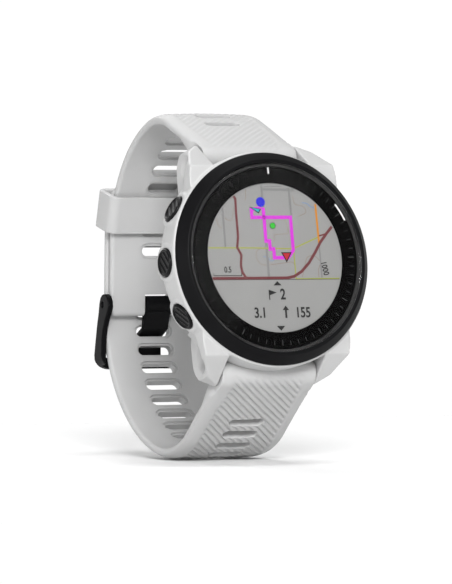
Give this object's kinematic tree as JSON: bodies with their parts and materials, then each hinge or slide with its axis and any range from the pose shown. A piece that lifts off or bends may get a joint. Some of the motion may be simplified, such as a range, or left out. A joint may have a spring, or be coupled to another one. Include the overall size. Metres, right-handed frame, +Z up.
{
  "type": "gps running watch",
  "caption": "Sports watch with a round flat display, side buttons and a slotted silicone strap closed into a loop by a pin buckle and keeper.",
  "frame": {"origin": "centre of the bounding box on the surface the watch stands on, level with the strap loop's lowest point", "axes": "+Z up, -Y the way the leaning dial faces, +X towards 3 o'clock"},
  "size_m": [0.0444, 0.0618, 0.0707],
  "materials": {
    "case_white": "satin",
    "black_polymer": "satin",
    "cover_glass": "polished",
    "silicone_white": "matte",
    "black_hardware": "satin black",
    "steel": "brushed",
    "screw_steel": "polished",
    "display_film": "satin",
    "inner_plastic": "moulded",
    "circuit_board": "solder mask",
    "flex_film": "film",
    "chip_black": "moulded",
    "battery_foil": "foil pouch",
    "gold_contact": "gold plated",
    "seal_rubber": "matte",
    "sensor_glass": "polished",
    "led_green": "clear",
    "membrane": "film"
  },
  "bodies": {
    "head": {"case": "case_white", "bezel_ring": "black_polymer", "cover_glass": "cover_glass", "glass_gasket": "seal_rubber", "dial_mask": "chip_black", "display_panel": "display_film", "backlight_plate": "membrane", "display_holder": "inner_plastic", "display_flex": "flex_film", "gps_antenna": "gold_contact", "main_board": "circuit_board", "board_chips": "chip_black", "chassis": "inner_plastic", "battery": "battery_foil", "vibration_motor": "steel", "beeper": "gold_contact", "vent_membrane": "membrane", "back_cover": "inner_plastic", "back_seal": "seal_rubber", "back_screws": "screw_steel", "sensor_window": "sensor_glass", "sensor_board": "circuit_board", "sensor_leds": "led_green", "charge_port": "inner_plastic", "charge_contacts": "gold_contact", "button_seals": "seal_rubber", "button_switches": "steel", "switch_flex": "flex_film", "strap_short": "silicone_white", "strap_long": "silicone_white", "upper_bar_tube": "steel", "upper_bar_pin": "steel", "lower_bar_tube": "steel", "lower_bar_pin": "steel"},
    "button_light_body": {"button_light": "black_hardware", "clip_light": "steel"},
    "button_up_body": {"button_up": "black_hardware", "clip_up": "steel"},
    "button_down_body": {"button_down": "black_hardware", "clip_down": "steel"},
    "button_start_body": {"button_start": "black_hardware", "clip_start": "steel"},
    "button_back_body": {"button_back": "black_hardware", "clip_back": "steel"},
    "buckle": {"buckle_frame": "black_hardware", "buckle_tongue": "black_hardware", "buckle_pin": "black_hardware"},
    "keeper_band": {"keeper": "silicone_white"},
    "upper_release": {"upper_bar_lever": "steel"},
    "lower_release": {"lower_bar_lever": "steel"}
  },
  "joints": [
    {"name": "press_light", "type": "slide", "parent": "head", "child": "button_light_body", "axis": [0.8686, -0.0894, -0.4873], "range_m": [0, 0.0006], "stiffness_N_per_m": 1500, "springref_m": -0.001},
    {"name": "press_up", "type": "slide", "parent": "head", "child": "button_up_body", "axis": [1, 0, 0], "range_m": [0, 0.0006], "stiffness_N_per_m": 1500, "springref_m": -0.001},
    {"name": "press_down", "type": "slide", "parent": "head", "child": "button_down_body", "axis": [0.8686, 0.0894, 0.4873], "range_m": [0, 0.0006], "stiffness_N_per_m": 1500, "springref_m": -0.001},
    {"name": "press_start", "type": "slide", "parent": "head", "child": "button_start_body", "axis": [-0.8686, -0.0894, -0.4873], "range_m": [0, 0.0006], "stiffness_N_per_m": 1500, "springref_m": -0.001},
    {"name": "press_back", "type": "slide", "parent": "head", "child": "button_back_body", "axis": [-0.8686, 0.0894, 0.4873], "range_m": [0, 0.0006], "stiffness_N_per_m": 1500, "springref_m": -0.001},
    {"name": "buckle_swing", "type": "hinge", "parent": "head", "child": "buckle", "pos_m": [0, 0.02623, 0.03119], "axis": [1, 0, 0], "range_deg": [0, 3.2]},
    {"name": "keeper_slide", "type": "hinge", "parent": "head", "child": "keeper_band", "pos_m": [0, -0.00099, 0.04353], "axis": [1, 0, 0], "range_deg": [-3.5, 25]},
    {"name": "upper_release_slide", "type": "slide", "parent": "head", "child": "upper_release", "axis": [-1, 0, 0], "range_m": [0, 0.0014], "stiffness_N_per_m": 400, "springref_m": -0.002},
    {"name": "lower_release_slide", "type": "slide", "parent": "head", "child": "lower_release", "axis": [-1, 0, 0], "range_m": [0, 0.0014], "stiffness_N_per_m": 400, "springref_m": -0.002}
  ]
}
